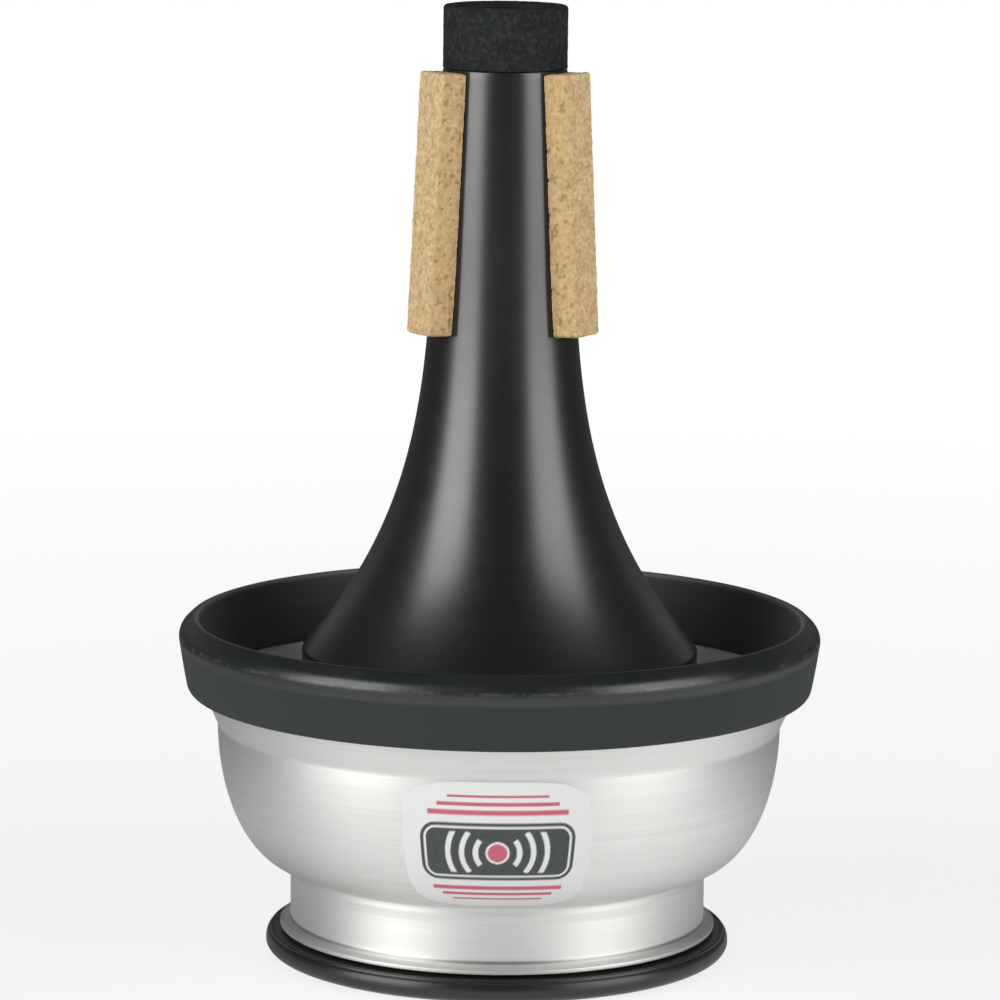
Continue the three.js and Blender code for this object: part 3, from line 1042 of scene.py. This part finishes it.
def makeBaseRing(values):
    # a rubber channel round both flanges: a flat beside the cup's lip, a small bead, a fine line, and
    # a roll outside, whose upper and lower quarters are quarters of two ellipses
    radius, high = reach("base_ring"), top("base_ring")
    slot = radius - values["rim"]
    lip = barrelRadius(coneValues) + coneValues["bend"] + values["gap"]
    beadIn, beadOut = values["bead"]
    slotTop = high - values["lip"]
    middle = values["rollHeight"] - values["upper"][1]
    turn = np.radians(np.linspace(0, 90, values["quarterPoints"]))
    lowerSize = [values["lowerWidth"], middle]
    lower = [radius, middle] - np.column_stack([1 - np.cos(turn), np.sin(turn)]) * lowerSize
    upper = [radius, middle] + np.column_stack([np.cos(turn) - 1, np.sin(turn)]) * values["upper"]
    profile = roundedPath([
        [slot - values["footWidth"], 0, values["footRounding"]],
        *lower[::-1].tolist(),
        *upper[1:].tolist(),
        [*values["groove"], values["grooveRounding"]],
        [beadOut, values["beadHeight"], values["beadRounding"]],
        [beadIn, values["beadHeight"], values["beadRounding"]],
        [beadIn - values["beadSlope"], values["shelf"], values["shelfRounding"]],
        [lip, values["shelf"], values["shelfRounding"]],
        [lip, slotTop, values["slotRounding"]],
        [slot, slotTop, values["slotRounding"]],
        [slot, values["foot"], values["slotRounding"]],
        [slot - values["footWidth"], values["foot"], values["footInsideRounding"]],
    ], closed=True)
    piece = lathe("baseRing", finely(profile, values["spacing"]), baseRubber)
    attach(piece, "body")
    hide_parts("base_ring")


makeBaseRing(baseValues)
print("base ring made")


# Friction sleeve

sleeveValues = {
    "thickness": 0.65,
    "rounding": 0.2,
    "spacing": 0.6,
    "nap": 0.02,
    "napCell": 0.5,
    "seed": 40,
}


def makeSleeve(values):
    # a thin felt band with a soft edge, between the barrel and the cup's collar
    low, high = foot("grip_sleeve"), top("grip_sleeve")
    outside = reach("grip_sleeve")
    inside = outside - values["thickness"]
    corners = [[inside, low], [outside, low], [outside, high], [inside, high]]
    profile = roundedPath([[*corner, values["rounding"]] for corner in corners], closed=True)
    piece = lathe("gripSleeve", finely(profile, values["spacing"]), felt,
                  shape=lambda points: roughened(points, values["nap"], values["napCell"], values["seed"]))
    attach(piece, "sleeve")
    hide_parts("grip_sleeve")


makeSleeve(sleeveValues)
print("sleeve made")


# Cup

cupValues = {
    "wall": 0.8,
    "collarRadius": 40.7,
    "collarLength": 12.7,
    "lipWidth": 2.0,
    "lipBend": 1.8,
    "lipPoints": 13,
    "rollHeight": 3.4,
    "rollDepth": 0.14,
    "rollRounding": 3.0,
    "creaseRounding": 1.0,
    "bowlReach": 14.35,
    "bowlDepth": 27.8,
    "bowlFrom": 7.5,    # degrees of the bowl's arc that are left to the crease's rounding
    "bowlPoints": 45,
    "rimReach": 5.5,
    "rimHeight": 16,
    "rimBow": 0.356,
    "rimPoints": 13,
    "edge": 0.2,
    "spacing": 0.9,
    "columns": 240,
    "sharpAngle": 30,
}


def bowlCurve(angle, values, lift=0):
    # outside of the bowl, a quarter ellipse from level at the crease to upright at the rim's foot,
    # moved outwards square to itself by lift
    crease = foot("cup_shell") + values["collarLength"]
    across, deep = values["bowlReach"], values["bowlDepth"]
    normal = np.stack([deep * np.sin(angle), -across * np.cos(angle)], axis=-1)
    normal /= np.linalg.norm(normal, axis=-1, keepdims=True)
    curve = np.stack([
        values["collarRadius"] + across * np.sin(angle),
        crease + deep * (1 - np.cos(angle)),
    ], axis=-1)
    return curve + lift * normal


def rimCurve(height, values, lift=0):
    # outside of the rim: r = bowl + reach t (1 + bow (1 - t)), with t the share of the rim's height
    start = foot("cup_shell") + values["collarLength"] + values["bowlDepth"]
    share = (height - start) / values["rimHeight"]
    slope = values["rimReach"] / values["rimHeight"] * (1 + values["rimBow"] * (1 - 2 * share))
    out = values["rimReach"] * share * (1 + values["rimBow"] * (1 - share))
    radius = values["collarRadius"] + values["bowlReach"] + out + lift * np.hypot(1, slope)
    return np.stack([radius, height], axis=-1)


def makeCup(values):
    # the lip, a quarter round up into the collar, a soft roll, the crease, the bowl and the rim
    low = foot("cup_shell")
    crease = low + values["collarLength"]
    rimFoot = crease + values["bowlDepth"]
    radius, lipTop = values["collarRadius"], low + values["wall"]
    turn = np.radians(np.linspace(0, 90, values["lipPoints"]))
    bend = values["lipBend"] * np.column_stack([1 - np.sin(turn), 1 - np.cos(turn)]) + [radius, lipTop]
    bowl = bowlCurve(np.radians(np.linspace(values["bowlFrom"], 90, values["bowlPoints"])), values)
    rim = rimCurve(np.linspace(rimFoot, rimFoot + values["rimHeight"], values["rimPoints"])[1:], values)
    corners = [
        [radius + values["lipWidth"], lipTop],
        *bend.tolist(),
        [radius, crease - values["rollHeight"], values["rollRounding"]],
        [radius + values["rollDepth"], crease - values["rollHeight"] / 2, values["rollRounding"]],
        [radius, crease, values["creaseRounding"]],
        *bowl.tolist(),
        *rim.tolist(),
    ]
    path, inner = spunSheet(corners, values["wall"])
    profile = finely(edgeRounded(path, inner, values["edge"]), values["spacing"])
    piece = lathe("cupShell", profile, cupAluminium, values["columns"], sharpAngle=values["sharpAngle"])
    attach(piece, "cup")
    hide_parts("cup_shell")


makeCup(cupValues)
print("cup made")


# Rim ring

ringValues = {
    "gap": 0.06,
    "innerLeg": 8.2,        # how far the inner leg reaches down from the rim's top
    "innerThickness": 1.0,
    "legRounding": 0.4,
    "outerLeg": 9.8,
    "outerThickness": 3.1,
    "footRounding": 3.0,
    "wallPoints": (9, 12),  # of the slot, inside and outside the cup's rim
    "facePoints": 12,       # up the outer face,
    "faceKept": (3, 8),     # of which only these are used, which leaves room for the roundings at its ends
    "bow": 0.1,
    "ridgeReach": 2.3,
    "ridgeRise": 2.25,
    "ridgeRounding": 3.3,
    "crestRise": 4.7,
    "crestInset": 1.65,
    "crestWidth": 1.35,
    "crestRounding": 1.5,
    "insideRounding": 0.9,
    "roundingSteps": 8,
    "spacing": 0.7,
    "columns": 240,
    "sharpAngle": 50,
}


def makeRimRing(values):
    # a rubber channel pressed over the cup's rim: its slot follows the rim on both sides, and its outer
    # face is the straight from foot to ridge plus 4 bow t (1 - t)
    rimTop = foot("cup_shell") + sum(cupValues[key] for key in ("collarLength", "bowlDepth", "rimHeight"))
    rimRadius = cupValues["collarRadius"] + cupValues["bowlReach"] + cupValues["rimReach"]
    ridge = [rimRadius + values["ridgeReach"], rimTop + values["ridgeRise"]]
    low, leg = rimTop - values["outerLeg"], rimTop - values["innerLeg"]
    crest = rimTop + values["crestRise"]
    slotTop = rimTop + values["gap"]
    insidePoints, outsidePoints = values["wallPoints"]
    inside = rimCurve(np.linspace(leg, slotTop, insidePoints), cupValues, -cupValues["wall"] - values["gap"])
    outside = rimCurve(np.linspace(slotTop, low, outsidePoints), cupValues, values["gap"])
    footRadius = outside[-1, 0] + values["outerThickness"]
    share = np.linspace(0, 1, values["facePoints"])[slice(*values["faceKept"])]
    face = np.column_stack([
        footRadius + (ridge[0] - footRadius) * share + 4 * values["bow"] * share * (1 - share),
        low + (ridge[1] - low) * share,
    ])
    profile = roundedPath([
        [outside[-1, 0], low],
        [footRadius, low, values["footRounding"]],
        *face.tolist(),
        [*ridge, values["ridgeRounding"]],
        [rimRadius - values["crestInset"] + values["crestWidth"], crest, values["crestRounding"]],
        [rimRadius - values["crestInset"], crest, values["insideRounding"]],
        [inside[0, 0] - values["innerThickness"], leg, values["legRounding"]],
        *inside.tolist(),
        *outside[:-1].tolist(),
    ], values["roundingSteps"], closed=True)
    piece = lathe("rimRing", finely(profile, values["spacing"]), rimRubber, values["columns"],
                  sharpAngle=values["sharpAngle"])
    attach(piece, "cup")
    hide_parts("rim_ring")


makeRimRing(ringValues)
print("rim ring made")


# Label

labelValues = {
    "width": 37,
    "topDrop": 0.4,
    "footRise": 1.6,
    "squareness": 4.5,
    "lift": 0.11,
    "thickness": 0.09,
    "rows": 180,
    "rowSpread": 87.5,              # degrees of the sine that crowds the rows towards the top and foot
    "columns": 230,
    "curvePoints": 400,
    "sharpAngle": 60,
    "softness": 0.10,               # width of a printed edge
    "panel": (15.0, 6.2, 3.2),      # half width, half height and corner radius
    "panelLine": (0.9, 0.45),       # a pale line, this far inside the panel's edge and this wide
    "core": 1.9,
    "waves": (4.3, 7.0, 9.7),       # radii of the arcs to either side of the core
    "waveWidth": 1.05,
    "waveSpread": 38,               # degrees above and below level
    "stripes": (8.2, 9.9, 11.4),    # heights of the stripes, above and below the middle
    "stripeEnds": (13.4, 11.6, 9.6),
    "stripeWidths": (1.0, 0.75, 0.5),
}


def printedShapes(x, y, values):
    # where the two inks lie, from 0 to 1, each edge a soft step of the signed distance to a shape:
    # a charcoal panel with a pale line inside its edge, pale arcs round a red disc, and red stripes
    def within(distance):
        # half at the edge, 1 inside it and 0 outside
        return np.clip(0.5 - distance / values["softness"], 0, 1)

    halfWidth, halfHeight, corner = values["panel"]
    overX = np.abs(x) - halfWidth + corner
    overY = np.abs(y) - halfHeight + corner
    outside = np.hypot(np.clip(overX, 0, None), np.clip(overY, 0, None))
    panel = outside + np.minimum(np.maximum(overX, overY), 0) - corner
    inset, wide = values["panelLine"]
    away = np.hypot(x, y)
    rise = np.degrees(np.arctan2(np.abs(y), np.abs(x)))
    pale = within(np.abs(panel + inset) - wide / 2)
    for radius in values["waves"]:
        arc = np.maximum(np.abs(away - radius) - values["waveWidth"] / 2,
                         np.radians(rise - values["waveSpread"]) * radius)
        arc = np.maximum(arc, np.abs(y) - halfHeight + 2 * inset)
        pale = np.maximum(pale, within(arc))
    pale = np.maximum(pale, within(away - values["core"] - wide))
    red = within(away - values["core"])
    for height, end, thick in zip(values["stripes"], values["stripeEnds"], values["stripeWidths"]):
        stripe = np.maximum(np.abs(np.abs(y) - height) - thick / 2, np.abs(x) - end)
        red = np.maximum(red, within(stripe))
    return within(panel) * (1 - pale), red


def makeLabel(values):
    # a rounded rectangle laid on the bowl: at a share v of its half height the half width is
    # (1 - |v|^n)^(1/n) of the full one, and heights are measured along the bowl's curve
    angles = np.radians(np.linspace(0, 90, values["curvePoints"]))
    curve = bowlCurve(angles, cupValues)
    length = lengthAlong(curve)
    lowLength, highLength = np.interp(
        [curve[0, 1] + values["footRise"], curve[-1, 1] - values["topDrop"]], curve[:, 1], length)
    middle, halfHeight = (lowLength + highLength) / 2, (highLength - lowLength) / 2
    halfWidth = values["width"] / 2
    share = np.sin(np.linspace(-1, 1, values["rows"]) * np.radians(values["rowSpread"]))
    width = (1 - np.abs(share) ** values["squareness"]) ** (1 / values["squareness"])
    y = share[:, None] * halfHeight + np.zeros(values["columns"])
    x = halfWidth * width[:, None] * np.linspace(-1, 1, values["columns"])
    bowlRadius = cupValues["collarRadius"] + cupValues["bowlReach"]
    angle = np.interp(middle + y, length, angles)
    turn = x / bowlRadius - np.pi / 2

    def surface(lift):
        # the bowl's outside under every point, moved out by lift
        place = bowlCurve(angle, cupValues, lift)
        return carriedRound(place[..., 0], place[..., 1], turn)

    edge = np.ones(y.shape, bool)
    edge[1:-1, 1:-1] = False
    face = surface(values["lift"])
    face[edge] = surface(values["lift"] - values["thickness"])[edge]
    mesh = gridMesh("stickerFace", face, closedAcross=False, closedAlong=False)
    charcoal, red = printedShapes(x, y, values)
    addMark(mesh, "charcoal", charcoal)
    addMark(mesh, "red", red)
    piece = addPiece("bowlLabel", mesh, film, values["sharpAngle"])
    solid = piece.modifiers.new("thickness", "SOLIDIFY")
    solid.thickness = values["thickness"] * mm
    solid.offset = -1
    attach(piece, "cup")
    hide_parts("label")


makeLabel(labelValues)
print("label made")


# Floor, light and world

stageValues = {
    "floorSize": 30,                # metres
    "floorHeight": -0.02,           # millimetres
    "floorColour": (0.93, 0.93, 0.93),
    "floorNoise": (40, 2.0),
    "floorShade": 0.995,            # the colour's share where the noise is 1
    "floorRoughness": 0.9,
    "floorSpecular": 0.1,
    "nearWhite": 0.80,              # share of plain white that the camera sees in the floor beside the mute
    "whiteFrom": 0.12,              # metres from the mute's axis where that share starts to grow
    "whiteAt": 0.7,                 # and where it is full
    "shineWhite": 0.83,             # share of plain white that reflections see in the paper
    "paperMiddle": (0, -0.3, 0),
    "paperFrom": 0.32,              # metres from its middle where the paper that reflections see fades
    "paperTo": 0.62,                # and where it ends
    "shineBehind": 0.45,            # what is left of the paper's share behind the mute,
    "behind": (-0.42, 0.907, 0),    # which is this way from its axis,
    "behindRange": (-0.7, 0.3),     # over this range of the cosine of the angle to it
    "shineNear": (0.95, 0.38),      # what is left in the mute's painted shadow, in front of it and elsewhere,
    "nearRange": (-1.0, -0.1),      # over this range of Y in the direction from its axis
    "shadow": (0.060, 0.080),       # metres from the axis between which that grows to all of it
    "leftStrip": {"turn": -57, "away": 1.6, "width": 1.15, "tall": 1.5, "middle": 0.75, "radiance": 3.2},
    "rightStrip": {"turn": 59, "away": 1.6, "width": 1.2, "tall": 1.5, "middle": 0.75, "radiance": 2.4},
    "world": 0.25,
    "glossyWorld": 0.07,
    "backdrop": 0.10,               # brightness of a low backdrop that only reflections see
    "backdropFoot": (0.06, 0.16),   # where it begins, as the height of a ray's direction
    "backdropTop": (0.24, 0.34),    # and ends
    "backdropSide": (0.45, 0.85),   # and where it begins as the direction turns to the back
}


def reflectedRay(tree, path):
    # 1 for a ray from a mirror or through glass
    return maths(tree, "MAXIMUM", path.outputs["Is Glossy Ray"], path.outputs["Is Transmission Ray"])


def makeFloor(values):
    # a flat pale sheet; what the camera sees of it grows to plain white with distance, so that it
    # meets the white surround without an edge, while the object's shadow stays; what shines in the
    # mute is the paper near it, with a painted shadow close to the mute, and dark beyond
    size = values["floorSize"] / 2 / mm
    edge = np.array([-size, size])
    x, y = np.meshgrid(edge, edge)
    sheet = np.dstack([x, y, 0 * x + values["floorHeight"]])
    mesh = gridMesh("floor", sheet, closedAcross=False, closedAlong=False)
    material, tree, shader = newMaterial("floorPaper")
    place = objectPlace(tree)
    shaded = tuple(part * values["floorShade"] for part in values["floorColour"])
    setInputs(tree, shader, {
        "Base Color": blendColours(tree, noise(tree, place, *values["floorNoise"]),
                                   values["floorColour"], shaded),
        "Roughness": values["floorRoughness"],
        "Specular IOR Level": values["floorSpecular"],
    })
    away = addNode(tree, "ShaderNodeVectorMath", {0: place}, operation="LENGTH").outputs["Value"]
    apart = addNode(tree, "ShaderNodeVectorMath", {0: place, 1: values["paperMiddle"]}, operation="DISTANCE")
    paper = span(tree, apart.outputs["Value"], values["paperFrom"], values["paperTo"], 1.0, 0.0)
    along = addNode(tree, "ShaderNodeVectorMath", {0: place, 1: values["behind"]}, operation="DOT_PRODUCT")
    behind = maths(tree, "DIVIDE", along.outputs["Value"], away)
    paper = product(tree, paper, span(tree, behind, *values["behindRange"], 1.0, values["shineBehind"]))
    # painted shadow: reflections see the paper darker close to the mute, less so in front of it
    ahead = maths(tree, "DIVIDE", partsOf(tree, place)[1], away)
    near = span(tree, ahead, *values["nearRange"], *values["shineNear"])
    paper = product(tree, paper, span(tree, away, *values["shadow"], near, 1.0))
    path = addNode(tree, "ShaderNodeLightPath")
    reflected = reflectedRay(tree, path)
    seen = span(tree, away, values["whiteFrom"], values["whiteAt"], values["nearWhite"], 1.0)
    seen = product(tree, seen, path.outputs["Is Camera Ray"])
    shone = product(tree, paper, values["shineWhite"], reflected)
    white = addNode(tree, "ShaderNodeEmission")
    dark = addNode(tree, "ShaderNodeEmission", {"Strength": values["glossyWorld"]})
    lit = addNode(tree, "ShaderNodeMixShader", {
        0: product(tree, maths(tree, "SUBTRACT", 1.0, paper), reflected),
        1: shader.outputs[0],
        2: dark.outputs[0],
    })
    both = addNode(tree, "ShaderNodeMixShader", {
        0: maths(tree, "MAXIMUM", seen, shone),
        1: lit.outputs[0],
        2: white.outputs[0],
    })
    output = tree.nodes["Material Output"]
    tree.links.new(both.outputs[0], output.inputs["Surface"])
    addPiece("floor", mesh, material)


def makeStrip(name, values):
    # an upright soft light, turned from the front and set away from the axis; in Blender its power is
    # 4 times radiance times area
    turn = np.radians(values["turn"])
    light = bpy.data.lights.new(name, "AREA")
    light.shape = "RECTANGLE"
    light.size, light.size_y = values["width"], values["tall"]
    light.energy = 4 * values["radiance"] * values["width"] * values["tall"]
    lamp = bpy.data.objects.new(name, light)
    lamp.visible_camera = False
    bpy.context.scene.collection.objects.link(lamp)
    lamp.location = (np.sin(turn) * values["away"], -np.cos(turn) * values["away"], values["middle"])
    lamp.rotation_mode = "QUATERNION"
    lamp.rotation_quaternion = Quaternion((0, 0, 1), turn) @ Quaternion((1, 0, 0), np.radians(90))


def makeWorld(values):
    # an even pale surround: white where the camera sees it, softer as light, and dark in reflections
    # but for a low backdrop behind the mute
    world = bpy.data.worlds.new("surround")
    bpy.context.scene.world = world
    world.use_nodes = True
    tree = world.node_tree
    path = addNode(tree, "ShaderNodeLightPath")
    _, y, height = partsOf(tree, addNode(tree, "ShaderNodeTexCoord").outputs["Generated"])
    below = span(tree, height, *values["backdropTop"], values["backdrop"], 0.0)
    above = span(tree, height, *values["backdropFoot"], 0.0, 1.0)
    back = span(tree, y, *values["backdropSide"], 0.0, 1.0)
    shone = maths(tree, "ADD", product(tree, below, above, back), values["glossyWorld"])
    level = span(tree, reflectedRay(tree, path), 0, 1, values["world"], shone)
    level = maths(tree, "MAXIMUM", level, path.outputs["Is Camera Ray"])
    background = tree.nodes["Background"]
    background.inputs["Color"].default_value = (1, 1, 1, 1)
    tree.links.new(level, background.inputs["Strength"])


makeFloor(stageValues)
makeStrip("leftStrip", stageValues["leftStrip"])
makeStrip("rightStrip", stageValues["rightStrip"])
makeWorld(stageValues)
bpy.context.scene.view_settings.view_transform = "Standard"
print("floor, light and world made")
